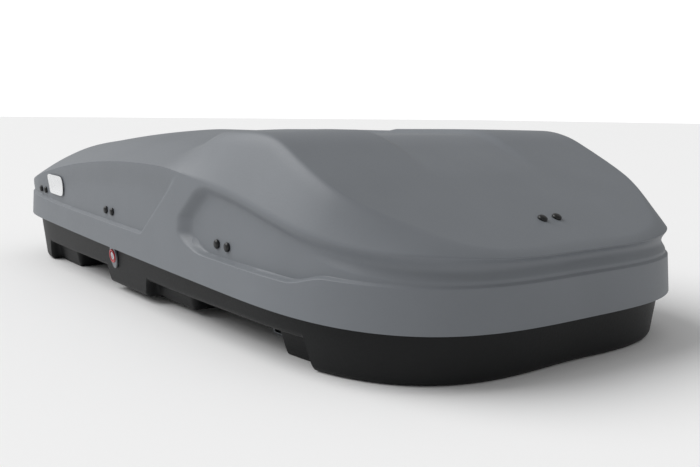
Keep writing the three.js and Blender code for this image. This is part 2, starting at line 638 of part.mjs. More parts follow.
// ---- luggage straps, lying on the floor of the middle bulge ----
function addStraps() {
  const floor = MIDDLE_LIFT * Math.cos(TILT) + BASE_WALL;
  STRAP_X.forEach((x, i) => {
    const strap = box(x - 12.5, x + 12.5, -230, 230, floor + 1, floor + 3.5);
    put(levelFrame, `strap_${i + 1}`, strap, paint.webbing);
    const frame = box(x - 19, x + 19, -30, 30, floor + 3.8, floor + 13);
    const slot = (y) => box(x - 13.5, x + 13.5, y - 5, y + 5, floor, floor + 27);
    put(levelFrame, `strap_buckle_${i + 1}`, cut(frame, slot(-18), slot(18)), paint.black);
  });
}

addBase();
addLid();
addLock();
addLatchBar();
addStrikers();
addHinges();
addStruts();
addNoseBracket();
addClamps();
addStraps();

export default root;
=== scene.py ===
import math

import bmesh
import bpy
import numpy as np
from mathutils import Matrix, Vector


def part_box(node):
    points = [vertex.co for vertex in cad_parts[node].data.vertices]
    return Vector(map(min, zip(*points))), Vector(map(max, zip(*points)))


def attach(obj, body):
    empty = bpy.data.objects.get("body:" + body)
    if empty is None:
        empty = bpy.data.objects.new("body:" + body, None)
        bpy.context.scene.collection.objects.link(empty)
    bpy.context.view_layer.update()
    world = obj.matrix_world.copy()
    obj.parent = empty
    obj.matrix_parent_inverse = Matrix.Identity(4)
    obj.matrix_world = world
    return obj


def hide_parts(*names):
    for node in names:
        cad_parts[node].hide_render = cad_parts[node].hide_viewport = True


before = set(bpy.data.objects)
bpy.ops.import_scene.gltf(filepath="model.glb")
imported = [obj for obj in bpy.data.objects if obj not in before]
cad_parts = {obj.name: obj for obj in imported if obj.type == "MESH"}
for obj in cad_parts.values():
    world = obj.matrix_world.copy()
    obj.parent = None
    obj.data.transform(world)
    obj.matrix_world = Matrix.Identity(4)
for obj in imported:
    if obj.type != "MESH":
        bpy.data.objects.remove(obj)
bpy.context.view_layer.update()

bl_info = {
    "name": "Roof Cargo Box",
    "version": (1, 0, 0),
    "blender": (4, 5, 0),
    "location": "View3D > Sidebar > Roof Box",
    "description": "Builds the finished look of a hinged roof cargo box around its solid model",
    "category": "Add Mesh",
}

MM = 0.001

# ---- sizes of the shells, millimetres, in the rim frame: z is 0 on the lid's lower edge ----
LENGTH = 1730
HALF_WIDTH = 445
NOSE_CAP, NOSE_POWER = 465, 3.42      # length and superellipse power of the rounded nose in plan
TAIL_CAP, TAIL_POWER = 365, 3.33
SIDE_BOW, PLAN_TAPER = 0.028, 0.05
SPINE_FRONT, SPINE_REAR = 660, -640   # ends of the centre line that roof and floor close on
TILT = 0.0262                         # rim frame against the level underside, radians
BASE_DEPTH = 107.6
LID_WALL, BASE_WALL = 4, 3.5
BASE_INSET, BASE_DRAFT = 20, 0.12
LIP_TOP = 12
CHANNEL_LIFT = 50
MIDDLE_LIFT, MIDDLE_SPAN = 14, (-400, -350, 350, 400)   # the middle bulge is shallower
SIDE_STEP = (68, 50)                  # where the channels widen, in from the outline
FOOT_RADIUS, FOOT_IN = 14, 46
RIVET_PITCH, RIVET_HEIGHT = 35.6, 76
FIXING_X = (395, -101, -563)          # hinges on +Y, latches on -Y
NOSE_RIVET_X, NOSE_RIVET_OUT = 770, (0.41, 0, 0.912)
LOCK_X, LOCK_Z = -103, -26
STRUT_X, STRUT_FOOT, STRUT_HEAD = (355, -390), (214, -20), (378, 130)
BADGE_X, BADGE_Z, BADGE_WIDTH, BADGE_HEIGHT = -455, 98, 100, 50
CAMERA_PLACE = (1664, -1073, 339)     # in the rim frame
CAMERA_YAW, CAMERA_PITCH, CAMERA_ROLL = -0.636, 0.165, 0.027
KEY_FROM = (-0.62, -0.55, 0.85)       # the way to the broad lamp
KEY_SPREAD = 50                       # degrees across the lamp, which softens its shadows
BACKDROP = 1.1                        # brightness of what the camera sees behind the floor
CHANNELS = (
    ((200, 225, 508, 530), (40, 62, 614, 634)),
    ((-450, -425, -185, -160), (-605, -580, -165, -140)),
)


# ---- small mathematics on whole arrays ----
def smooth(low, high, value):
    """0 below low, 1 above high, and 3t squared less 2t cubed between."""
    t = np.clip((value - low) / (high - low), 0, 1)
    return t * t * (3 - 2 * t)


def mix(a, b, t):
    """The straight blend from a to b."""
    return a + (b - a) * t


def soft_min(a, b, width):
    """The lower of a and b, with the crease between them rounded over width."""
    h = np.maximum(width - np.abs(a - b), 0) / width
    return np.minimum(a, b) - h * h * width / 4


def to_part(points):
    """Rim-frame millimetres to part-frame metres: a turn by the tilt about Y, then the lift."""
    c, s = math.cos(TILT), math.sin(TILT)
    x, y, z = points[..., 0], points[..., 1], points[..., 2]
    return np.stack([x * c + z * s, y, z * c - x * s + BASE_DEPTH * c], -1) * MM


def to_part_way(way):
    """A rim-frame direction in the part frame."""
    c, s = math.cos(TILT), math.sin(TILT)
    return Vector((way[0] * c + way[2] * s, way[1], way[2] * c - way[0] * s))


# ---- the plan outline and its columns ----
def half_width(x):
    """Half width of the rim at x: straight side times the two superellipse caps, bow and taper."""
    nose = np.maximum(x - (LENGTH / 2 - NOSE_CAP), 0) / NOSE_CAP
    tail = np.maximum(-x - (LENGTH / 2 - TAIL_CAP), 0) / TAIL_CAP
    s = x / (LENGTH / 2)
    cap = (np.maximum(1 - nose ** NOSE_POWER, 0) ** (1 / NOSE_POWER)
           * np.maximum(1 - tail ** TAIL_POWER, 0) ** (1 / TAIL_POWER))
    return HALF_WIDTH * cap * (1 - SIDE_BOW * s * s - PLAN_TAPER * s)


def half_outline(count, dense):
    """Points of half the rim, tail to nose. x runs as a cosine so that the two ends are fine,
    then the line is cut again at equal steps of length times dense(x)."""
    x = -LENGTH / 2 * np.cos(np.linspace(0, math.pi, 40001))
    y = half_width(x)
    y[0] = y[-1] = 0
    step = np.hypot(np.diff(x), np.diff(y)) * dense((x[1:] + x[:-1]) / 2)
    run = np.concatenate([[0], np.cumsum(step)])
    at = np.linspace(0, run[-1], count)
    return np.interp(at, run, x), np.interp(at, run, y)


def make_columns(count, dense):
    """Columns of a shell, round the rim from the tail along -Y and back along +Y. Each starts on
    the outline and runs in to the nearest point of the centre line."""
    x, y = half_outline(count, dense)
    y[0] = y[-1] = 0
    x = np.concatenate([x, x[-2:0:-1]])
    y = np.concatenate([-y, y[-2:0:-1]])
    spine = np.clip(x, SPINE_REAR, SPINE_FRONT)
    span = np.hypot(spine - x, y)
    return {"x": x, "y": y, "spine": spine, "span": span,
            "in_x": (spine - x) / span, "in_y": -y / span}


# ---- the lid's surface ----
def band_height(x):
    return 100 + 65 * (1 - smooth(330, 800, x))


def skirt_height(x):
    return mix(mix(58, 51, smooth(-700, -400, x)), 68, smooth(600, 680, x))


def crease_height(x):
    """The soft crease along the side: a parabola over the rear, the band's upper edge in front."""
    rear = np.maximum(197 - 1.42e-4 * np.maximum(180 - x, 0) ** 2, 74)
    return mix(rear, band_height(x) + 16, smooth(150, 400, x))


def wall_inset(x, z):
    """How far the wall stands in from the rim at height z: draft, the long rear panel, the front
    pocket with its slanted rear edge, and the groove round the nose."""
    draft = mix(0.06, 0.12, smooth(600, 800, x)) * z
    ledge, band, crease = skirt_height(x), band_height(x), crease_height(x)
    rear_edge = 85 + 1.15 * (z - 50)
    step = smooth(ledge, ledge + 5, z)
    rear = (9 * (1 - smooth(rear_edge - 14, rear_edge, x)) * step
            * (1 - smooth(crease - 60, crease, z)))
    bevel = 245 + 0.075 * np.maximum(85 - z, 0) ** 2 + 1.1 * np.maximum(z - 110, 0)
    front = (mix(15, 5, smooth(590, 740, x)) * smooth(bevel, bevel + 40, x) * step
             * (1 - smooth(band - 12, band + 14, z)))
    groove = 8 * smooth(600, 740, x) * np.maximum(1 - ((z - band + 4) / 19) ** 2, 0) ** 1.5
    return draft + rear + front + groove


def roof_height(x, y, shoulder):
    """The lower of the rising shoulder, the nose slope and the deck, creases rounded, less a
    shallow valley along the deck."""
    slope = 148 + 0.45 * (770 - x)
    crown = mix(20, 5, smooth(-300, 450, x)) * (y / 400) ** 2
    deck = deck_line(x) - crown
    valley = (10 * (1 - smooth(118, 150, np.abs(y))) * (1 - smooth(480, 640, x))
              * smooth(-700, -500, x))
    return soft_min(soft_min(shoulder, slope, 22), deck, 24) - valley


def shoulder_rise(x, inward, span):
    """How far the shoulder stands over the crease: at the rear a dome, one less a power of the way
    still to go to the centre line; in front a straight steep rise."""
    dome = (deck_line(x) + 8 - crease_height(x)) * (1 - (1 - inward / span) ** 2.8)
    ramp = mix(2.3, 1.2, smooth(640, 800, x)) * inward
    return mix(dome, ramp, smooth(150, 450, x))


def deck_line(x):
    """Height of the deck along the centre, valley left out."""
    return 264 + 0.03 * x - 42 * smooth(-80, -800, x) + 3 * smooth(100, 450, x)


def wall_height(x, w):
    """Height of wall row w: 0 rim, 1 ledge, 2 band, 3 crease, straight between the marks."""
    crease = crease_height(x)
    ledge = skirt_height(x)
    band = np.minimum(band_height(x), crease - 16)
    above = ledge + 5 * smooth(0, 0.04, w - 1)
    return np.where(w <= 1, ledge * w,
                    np.where(w <= 2, mix(above, band, w - 1), mix(band, crease, w - 2)))


def lid_grid(columns, wall_rows, roof_rows):
    """The lid's outer skin as rows of columns. Wall rows climb by height; roof rows run in by a
    share of the way to the centre line, on the shoulder's rise, cut by roof_height."""
    x, y = columns["x"], columns["y"]
    crease = crease_height(x)
    crease_inset = wall_inset(x, crease)
    z = wall_height(x[None], wall_rows[:, None])
    wall = wall_inset(x[None], z)
    roof = mix(crease_inset[None], columns["span"][None], roof_rows[:, None])
    span = (columns["span"] - crease_inset)[None]
    rise = crease[None] + shoulder_rise(x[None], roof - crease_inset[None], span)
    inset = np.vstack([wall, roof])
    px = x + columns["in_x"] * inset
    py = y + columns["in_y"] * inset
    height = roof_height(px, py, np.vstack([z, rise]))
    height[0] = 0
    return np.stack([px, py, height], -1)


# ---- the base's surface ----
def bump(x, marks):
    a, b, c, d = marks
    return smooth(a, b, x) * (1 - smooth(c, d, x))


def underside_height(x, y):
    """The level underside, lifted where the two roof-bar channels cross it."""
    edge = half_width(x)
    side = smooth(edge - SIDE_STEP[0], edge - SIDE_STEP[1], np.abs(y))
    lift = sum(mix(bump(x, inboard), bump(x, outboard), side) for inboard, outboard in CHANNELS)
    return (-BASE_DEPTH + math.tan(TILT) * x
            + np.maximum(CHANNEL_LIFT * lift, MIDDLE_LIFT * bump(x, MIDDLE_SPAN)))


def base_inset(z):
    return BASE_INSET + BASE_DRAFT * (LIP_TOP - z)


def base_grid(columns, wall_rows, foot_rows, floor_rows):
    """The base's outer skin: a drafted wall, a rounded foot, and the underside as a height over
    the plan."""
    x, y, in_x, in_y = (columns[k][None] for k in ("x", "y", "in_x", "in_y"))
    low = underside_height(x + in_x * FOOT_IN, y + in_y * FOOT_IN)
    wall_z = mix(LIP_TOP, low + FOOT_RADIUS, wall_rows[:, None])
    angle = foot_rows[:, None] * math.pi / 2
    foot_z = low + FOOT_RADIUS * (1 - np.sin(angle))
    foot = base_inset(low + FOOT_RADIUS)
    foot_inset = foot + FOOT_RADIUS * (1 - np.cos(angle))
    floor_inset = mix(foot + FOOT_RADIUS, columns["span"][None], floor_rows[:, None])
    inset = np.vstack([base_inset(wall_z), foot_inset, floor_inset])
    px, py = x + in_x * inset, y + in_y * inset
    floor_z = underside_height(px, py)[-len(floor_rows):]
    return np.stack([px, py, np.vstack([wall_z, foot_z, floor_z])], -1)


# ---- meshes ----
def mesh_piece(name, points, faces, sharp=40):
    """A mesh object at the origin from points in metres and faces, smooth but for sharp edges."""
    mesh = bpy.data.meshes.new(name)
    mesh.from_pydata(points.tolist(), [], faces)
    mesh.validate()
    mesh.shade_smooth()
    mesh.set_sharp_from_angle(angle=math.radians(sharp))
    piece = bpy.data.objects.new(name, mesh)
    bpy.context.scene.collection.objects.link(piece)
    return piece


def grid_faces(rows, count):
    """Quads between neighbouring rows of a grid that goes round."""
    r, c = np.meshgrid(np.arange(rows - 1), np.arange(count), indexing="ij")
    nxt = (c + 1) % count
    low, high = r * count, (r + 1) * count
    return np.stack([low + c, low + nxt, high + nxt, high + c], -1).reshape(-1, 4)


def grid_normals(grid, rising):
    """Unit outward normals of a closed grid: the cross product of its two directions. On the last
    row, the centre line, both sides share the row before's, without its sideways part."""
    along = np.roll(grid, -1, 1) - np.roll(grid, 1, 1)
    normal = np.cross(along, np.gradient(grid, axis=0))
    if not rising:
        normal = -normal
    normal[-1] = normal[-2]
    normal[-1, :, 1] = 0
    return normal / np.linalg.norm(normal, axis=-1, keepdims=True)


def thin_shell(name, outer, inner, columns, rising):
    """Outer and inner skins of a shell, joined round the rim. The last row of each is the centre
    line, whose points the two sides share, so a quad that has lost an edge becomes a triangle."""
    count = outer.shape[1]
    keys, share = np.unique(np.round(columns["spine"], 3), return_inverse=True)
    points, faces, start = [], [], 0
    for skin, flip in ((outer, not rising), (inner, rising)):
        rows = skin.shape[0]
        body = skin[:-1].reshape(-1, 3)
        centre = np.zeros((len(keys), 3))
        np.add.at(centre, share, skin[-1])
        centre /= np.bincount(share)[:, None]
        points += [body, centre]
        quad = grid_faces(rows, count)
        last = quad >= (rows - 1) * count
        quad = np.where(last, (rows - 1) * count + share[quad % count], quad) + start
        if flip:
            quad = quad[:, ::-1]
        faces.append(quad)
        start += len(body) + len(keys)
    inner_start = len(points[0]) + len(keys)
    ring = np.arange(count)
    nxt = (ring + 1) % count
    lip = np.stack([nxt, ring, ring + inner_start, nxt + inner_start], -1)
    faces.append(lip if rising else lip[:, ::-1])
    faces = np.vstack(faces)
    whole = (faces != np.roll(faces, -1, 1)).all(1)
    thin = [list(dict.fromkeys(f)) for f in faces[~whole].tolist()]
    piece = mesh_piece(name, to_part(np.vstack(points)), faces[whole].tolist() + thin)
    return piece


def lathe(profile, centre, axis, sides=48, name="turned", wobble=None):
    """A profile of (radius, distance) turned about an axis, poles closed. wobble(angle) scales the
    radius where it is more than nothing."""
    profile = np.array(profile, float)
    angle = np.linspace(0, 2 * math.pi, sides, endpoint=False)
    radius = profile[:, 0][:, None] * (np.ones(sides) if wobble is None else wobble(angle)[None])
    local = np.stack([radius * np.cos(angle), radius * np.sin(angle),
                      np.broadcast_to(profile[:, 1][:, None], radius.shape)], -1)
    turn = np.array(Vector(axis).normalized().to_track_quat("Z", "Y").to_matrix())
    points = local.reshape(-1, 3) @ turn.T + np.array(centre)
    faces = grid_faces(len(profile), sides)
    quads = faces.tolist()
    first, last = list(range(sides)), list(range((len(profile) - 1) * sides, len(profile) * sides))
    quads += [first[::-1], last]
    return points, quads


def rounded_profile(radius, low, high, round_low, round_high, steps=6):
    """Profile of a disc or pin with rounded rims: quarter circles at the two ends."""
    turn = np.linspace(0, math.pi / 2, steps)
    start = [(radius - round_low + round_low * math.sin(a), low + round_low * (1 - math.cos(a)))
             for a in turn]
    end = [(radius - round_high + round_high * math.cos(a), high - round_high * (1 - math.sin(a)))
           for a in turn]
    return start + end


def merged(name, parts, sharp=35):
    """Several (points, faces) lists as one piece, doubles merged and normals recalculated."""
    points, faces, start = [], [], 0
    for part_points, part_faces in parts:
        points.append(part_points)
        faces += [[i + start for i in f] for f in part_faces]
        start += len(part_points)
    piece = mesh_piece(name, np.vstack(points), faces, sharp)
    tidy_mesh(piece.data)
    piece.data.set_sharp_from_angle(angle=math.radians(sharp))
    return piece


def tidy_mesh(mesh):
    """Merges doubles and turns every face outwards."""
    work = bmesh.new()
    work.from_mesh(mesh)
    bmesh.ops.remove_doubles(work, verts=work.verts, dist=2e-6)
    bmesh.ops.recalc_face_normals(work, faces=work.faces)
    work.to_mesh(mesh)
    work.free()


def eased_copy(node, material, body, width=0.0005, name=None):
    """A copy of a CAD node with its flat faces rejoined and its edges rounded over width."""
    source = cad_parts[node]
    work = bmesh.new()
    work.from_mesh(source.data)
    bmesh.ops.remove_doubles(work, verts=work.verts, dist=5e-6)
    bmesh.ops.dissolve_limit(work, angle_limit=math.radians(1), verts=work.verts, edges=work.edges)
    mesh = bpy.data.meshes.new(name or node + "_finished")
    work.to_mesh(mesh)
    work.free()
    mesh.shade_smooth()
    mesh.set_sharp_from_angle(angle=math.radians(35))
    piece = bpy.data.objects.new(mesh.name, mesh)
    bpy.context.scene.collection.objects.link(piece)
    bevel = piece.modifiers.new("eased_edges", "BEVEL")
    bevel.width = width
    bevel.segments = 2
    bevel.limit_method = "ANGLE"
    bevel.angle_limit = math.radians(35)
    bevel.use_clamp_overlap = True
    bevel.harden_normals = True
    finish_piece(piece, material, body, node)
    return piece


def finish_piece(piece, material, body, *nodes, slot=None):
    """Gives a piece its material and its body, and hides the CAD nodes that it stands for."""
    piece.data.materials.clear()
    piece.data.materials.append(material)
    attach(piece, body)
    if nodes:
        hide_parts(*nodes)


# ---- colours and materials ----
def linear(code):
    """An sRGB hex colour as linear red, green and blue."""
    parts = [int(code[i:i + 2], 16) / 255 for i in (0, 2, 4)]
    return tuple(v / 12.92 if v <= 0.04045 else ((v + 0.055) / 1.055) ** 2.4 for v in parts)


def add_node(material, kind, inputs=None, **settings):
    """Adds a node of that kind: settings are its properties, and inputs its values or the
    sockets that feed it, by socket name or number."""
    made = material.node_tree.nodes.new(kind)
    for key, value in settings.items():
        setattr(made, key, value)
    for key, value in (inputs or {}).items():
        if isinstance(value, bpy.types.NodeSocket):
            material.node_tree.links.new(value, made.inputs[key])
        else:
            made.inputs[key].default_value = value
    return made


def new_material(name):
    material = bpy.data.materials.new(name)
    material.use_nodes = True
    material.node_tree.nodes.clear()
    return material


def close_material(material, shader):
    add_node(material, "ShaderNodeOutputMaterial", {"Surface": shader.outputs["BSDF"]})
    return material


def moulded(name, colour, pit, depth, roughness, drift=0.06, coat=0.0, gleam=0.4):
    """Moulded or formed plastic: one colour that drifts slightly over a hand's width, a fine
    pitted grain, and roughness that varies with the grain."""
    material = new_material(name)
    place = add_node(material, "ShaderNodeTexCoord").outputs["Object"]
    cloud = add_node(material, "ShaderNodeTexNoise", {"Vector": place, "Scale": 9.0, "Detail": 3.0})
    shade = add_node(material, "ShaderNodeMix", {
        "Factor": cloud.outputs["Fac"],
        "A": (*[v * (1 - drift) for v in colour], 1), "B": (*[v * (1 + drift) for v in colour], 1),
    }, data_type="RGBA")
    grain = add_node(material, "ShaderNodeTexNoise", {
        "Vector": place, "Scale": 1 / pit, "Detail": 4.0, "Roughness": 0.65})
    pits = add_node(material, "ShaderNodeTexVoronoi", {
        "Vector": place, "Scale": 0.6 / pit, "Randomness": 1.0}, feature="SMOOTH_F1")
    both = add_node(material, "ShaderNodeMath", {
        0: grain.outputs["Fac"], 1: pits.outputs["Distance"]}, operation="ADD")
    relief = add_node(material, "ShaderNodeBump", {
        "Height": both.outputs[0], "Strength": 1.0, "Distance": depth})
    gloss = add_node(material, "ShaderNodeMapRange", {
        "Value": grain.outputs["Fac"], "From Min": 0.3, "From Max": 0.7,
        "To Min": roughness - 0.05, "To Max": roughness + 0.05})
    shader = add_node(material, "ShaderNodeBsdfPrincipled", {
        "Base Color": shade.outputs[2], "Roughness": gloss.outputs[0], "Normal": relief.outputs[0],
        "Specular IOR Level": gleam, "Coat Weight": coat})
    return close_material(material, shader)


def metal(name, colour, roughness, scratch, along=(1, 1, 1), depth=0.00001):
    """Bare or plated metal: fine marks drawn out along the rolling direction vary its
    roughness and tilt its surface."""
    material = new_material(name)
    place = add_node(material, "ShaderNodeTexCoord").outputs["Object"]
    drawn = add_node(material, "ShaderNodeMapping", {"Vector": place, "Scale": along})
    marks = add_node(material, "ShaderNodeTexNoise", {
        "Vector": drawn.outputs[0], "Scale": 1 / scratch, "Detail": 5.0, "Roughness": 0.7})
    cloud = add_node(material, "ShaderNodeTexNoise", {
        "Vector": place, "Scale": 60.0, "Detail": 2.0})
    tone = add_node(material, "ShaderNodeMix", {
        "Factor": cloud.outputs["Fac"], "A": (*[v * 0.9 for v in colour], 1),
        "B": (*[min(v * 1.08, 1) for v in colour], 1)}, data_type="RGBA")
    gloss = add_node(material, "ShaderNodeMapRange", {
        "Value": marks.outputs["Fac"], "From Min": 0.3, "From Max": 0.7,
        "To Min": roughness * 0.8, "To Max": roughness * 1.25})
    relief = add_node(material, "ShaderNodeBump", {
        "Height": marks.outputs["Fac"], "Strength": 0.6, "Distance": depth})
    shader = add_node(material, "ShaderNodeBsdfPrincipled", {
        "Base Color": tone.outputs[2], "Metallic": 1.0, "Roughness": gloss.outputs[0],
        "Normal": relief.outputs[0]})
    return close_material(material, shader)


def webbing(name, colour, pitch):
    """Woven polyester webbing: a twill of raised threads in the strap's own UV, which run in
    metres, with painted shade in the gaps between them and a painted highlight on the raised
    threads."""
    material = new_material(name)
    place = add_node(material, "ShaderNodeUVMap", uv_map="cloth").outputs[0]
    ribs = add_node(material, "ShaderNodeTexWave", {
        "Vector": place, "Scale": 0.5 / pitch, "Distortion": 0.6, "Detail": 1.0,
        "Detail Scale": 3.0},
        wave_type="BANDS", bands_direction="DIAGONAL")
    cross = add_node(material, "ShaderNodeTexWave", {
        "Vector": place, "Scale": 0.35 / pitch, "Distortion": 0.3, "Detail": 1.0,
        "Detail Scale": 3.0},
        wave_type="BANDS", bands_direction="X")
    weave = add_node(material, "ShaderNodeMath", {0: ribs.outputs["Fac"], 1: cross.outputs["Fac"]},
                     operation="MULTIPLY")
    # painted shade and highlight: the colour follows the weave's height, darker in the low gaps and
    # lighter on the raised threads
    tone = add_node(material, "ShaderNodeMix", {
        "Factor": weave.outputs[0], "A": (*[v * 0.45 for v in colour], 1),
        "B": (*[v * 1.35 for v in colour], 1)}, data_type="RGBA")
    relief = add_node(material, "ShaderNodeBump", {
        "Height": weave.outputs[0], "Strength": 1.0, "Distance": 0.0003})
    shader = add_node(material, "ShaderNodeBsdfPrincipled", {
        "Base Color": tone.outputs[2], "Roughness": 0.85, "Normal": relief.outputs[0],
        "Sheen Weight": 0.25, "Sheen Roughness": 0.5})
    return close_material(material, shader)


# ---- settings ----
def colour_setting(name, description, code):
    return bpy.props.FloatVectorProperty(
        name=name, description=description, default=linear(code), subtype="COLOR", size=3,
        min=0, max=1)


def length_setting(name, description, default):
    return bpy.props.FloatProperty(
        name=name, description=description, default=default, unit="LENGTH", min=0, precision=5)


class ShellSettings(bpy.types.PropertyGroup):
    """Sizes and colours of the two shells."""
    lid_colour: colour_setting("Lid colour", "Colour of the grey lid sheet", "73777c")
    base_colour: colour_setting("Base colour", "Colour of the black base sheet", "161718")
    trim_colour: colour_setting("Edging colour", "Colour of the rubber edging", "141414")
    lid_grain: length_setting("Lid grain", "Width of one pit of the lid's grain", 0.0022)
    base_grain: length_setting("Base grain", "Width of one pit of the base's grain", 0.0028)


class FittingSettings(bpy.types.PropertyGroup):
    """Colours of the lock, clamps, fixings and straps."""
    lock_colour: colour_setting("Lock plate colour", "Colour of the oval lock plate", "8a8d91")
    ring_colour: colour_setting("Lock ring colour", "Colour of the ring round the key", "b3262e")
    knob_colour: colour_setting("Knob colour", "Colour of the clamp knobs", "a3242b")
    badge_colour: colour_setting("Badge colour", "Colour of the plain badge plate", "e6e7e8")
    strap_colour: colour_setting("Strap colour", "Colour of the luggage straps", "2b2d31")


class StageSettings(bpy.types.PropertyGroup):
    """Camera, floor and lamps."""
    lens: bpy.props.FloatProperty(
        name="Focal length", description="Focal length of the camera", default=42.19, unit="CAMERA",
        min=10, max=200)
    floor_colour: colour_setting("Floor colour", "Colour of the studio floor", "f4f4f4")
    key_power: bpy.props.FloatProperty(
        name="Key lamp", description="Strength of the broad lamp over the box", default=2.3, min=0)
    sky: bpy.props.FloatProperty(
        name="Sky", description="Strength of the even light from all round", default=0.45, min=0)


class RoofBoxSettings(bpy.types.PropertyGroup):
    """All settings of the roof box."""
    shells: bpy.props.PointerProperty(name="Shells", description="Lid and base", type=ShellSettings)
    fittings: bpy.props.PointerProperty(
        name="Fittings", description="Lock, clamps and straps", type=FittingSettings)
    stage: bpy.props.PointerProperty(
        name="Stage", description="Camera, floor and lamps", type=StageSettings)


# ---- operators ----
def near(x, centre, width, gain):
    """Extra closeness of columns about centre."""
    return gain * np.exp(-((x - centre) / width) ** 2)


class ROOFBOX_OT_lid(bpy.types.Operator):
    """Builds the lid's outer and inner skins and its rolled rim"""
    bl_idname = "roofbox.lid"
    bl_label = "Lid"

    def execute(self, context):
        settings = context.scene.roof_box.shells
        columns = make_columns(290, lambda x: 1 + near(x, 290, 90, 1.6) + near(x, 110, 60, 0.8))
        wall_rows = np.concatenate([
            [0, 0.015, 0.04], np.linspace(0.1, 0.94, 7), [0.97, 0.985],
            np.linspace(1, 1.04, 9), np.linspace(1.07, 1.97, 30), np.linspace(2, 2.97, 24)])
        roof_rows = np.concatenate([
            np.linspace(0, 0.34, 44), np.linspace(0.36, 0.62, 12), np.linspace(0.64, 0.8, 14),
            np.linspace(0.83, 1, 6)])
        outer = lid_grid(columns, wall_rows, roof_rows)
        coarse = lid_grid(
            columns, np.array([0, 0.5, 0.9, 1, 1.02, 1.04, 1.25, 1.5, 1.75, 1.9, 2, 2.2, 2.5, 2.8]),
            np.array([0, 0.03, 0.06, 0.1, 0.14, 0.18, 0.24, 0.3, 0.4,
                      0.6, 0.66, 0.72, 0.78, 0.9, 1]))
        inner = coarse - grid_normals(coarse, True) * LID_WALL
        rim_in = np.stack([columns["in_x"], columns["in_y"], np.zeros_like(columns["x"])], -1)
        inner[0] = coarse[0] + rim_in * LID_WALL
        piece = thin_shell("lid_skin", outer, inner, columns, True)
        # a satin grey skin; the real grain is about 1 mm and is drawn about twice as coarse
        look = moulded("grey_abs_thermoformed", settings.lid_colour, settings.lid_grain,
                       0.00009, 0.5)
        finish_piece(piece, look, "lid", "lid_shell", slot="lid_plastic")
        return {"FINISHED"}


class ROOFBOX_OT_base(bpy.types.Operator):
    """Builds the base tray with its bar channels"""
    bl_idname = "roofbox.base"
    bl_label = "Base"

    def execute(self, context):
        settings = context.scene.roof_box.shells
        edges = [e for channel in CHANNELS for marks in channel for e in (
            (marks[0] + marks[1]) / 2, (marks[2] + marks[3]) / 2)]
        columns = make_columns(300, lambda x: 1 + sum(near(x, e, 24, 1.8) for e in edges))
        floor_rows = np.concatenate([
            np.linspace(0.015, 0.06, 5), np.linspace(0.07, 0.16, 14), np.linspace(0.19, 1, 22)])
        outer = base_grid(columns, np.linspace(0, 1, 12), np.linspace(0, 1, 8)[1:], floor_rows)
        coarse = base_grid(columns, np.linspace(0, 1, 6), np.array([0.5, 1]),
                           np.concatenate([np.linspace(0.03, 0.18, 10), np.linspace(0.24, 1, 12)]))
        inner = coarse - grid_normals(coarse, False) * BASE_WALL
        rim_in = np.stack([columns["in_x"], columns["in_y"], np.zeros_like(columns["x"])], -1)
        inner[0] = coarse[0] + rim_in * BASE_WALL
        piece = thin_shell("base_skin", outer, inner, columns, False)
        # a dull near-black skin; its grain is drawn about twice as coarse too
        look = moulded("black_abs_thermoformed", settings.base_colour, settings.base_grain,
                       0.00012, 0.5, drift=0.12, gleam=0.2)
        finish_piece(piece, look, "base", "base_shell", slot="base_plastic")
        return {"FINISHED"}


class ROOFBOX_OT_fixings(bpy.types.Operator):
    """Builds the domed rivet heads on the lid"""
    bl_idname = "roofbox.fixings"
    bl_label = "Rivets"

    def execute(self, context):
        places = []
        for x in FIXING_X:
            for rx in (x - RIVET_PITCH / 2, x + RIVET_PITCH / 2):
                for side in (-1, 1):
                    seat = half_width(rx) - wall_inset(rx, RIVET_HEIGHT)
                    places.append(((rx, side * float(seat), RIVET_HEIGHT), (0, side, 0)))
        for y in (-RIVET_PITCH / 2, RIVET_PITCH / 2):
            z = float(roof_height(NOSE_RIVET_X, y, 400))
            places.append(((NOSE_RIVET_X, y, z), NOSE_RIVET_OUT))
        # a domed head of 16 mm with a small flat rim and a dimple left by the tool
        dome = [(8.4 * math.cos(a) ** 0.8, 1.9 + 4.3 * math.sin(a))
                for a in np.linspace(0, math.pi / 2, 10)[:-1]]
        profile = [(8.0, -1.0), (8.5, 0.2), (8.5, 1.4)] + dome + [(0.9, 6.1), (0.5, 5.9)]
        profile = [(r * MM, d * MM) for r, d in profile]
        parts = [lathe(profile, to_part(np.array(point, float)), to_part_way(out), 32)
                 for point, out in places]
        finish_piece(merged("rivet_heads", parts), painted_steel(), "lid", slot="black_paint")
        return {"FINISHED"}


def painted_steel():
    """Black powder-coated steel, made once: satin, with a faint orange-peel texture."""
    return bpy.data.materials.get("black_powder_coat") or moulded(
        "black_powder_coat", linear("121314"), 0.0015, 0.00002, 0.34)


def zinc():
    """Zinc-plated steel, made once: pale grey and softly marked by rolling."""
    return bpy.data.materials.get("zinc_plated_steel") or metal(
        "zinc_plated_steel", linear("9a9ea3"), 0.38, 0.004, (1, 6, 6))


def dark_steel():
    """Black-passivated steel, made once: dark, with a dull metallic sheen."""
    return bpy.data.materials.get("black_passivated_steel") or metal(
        "black_passivated_steel", linear("45484c"), 0.42, 0.003, (1, 5, 5))


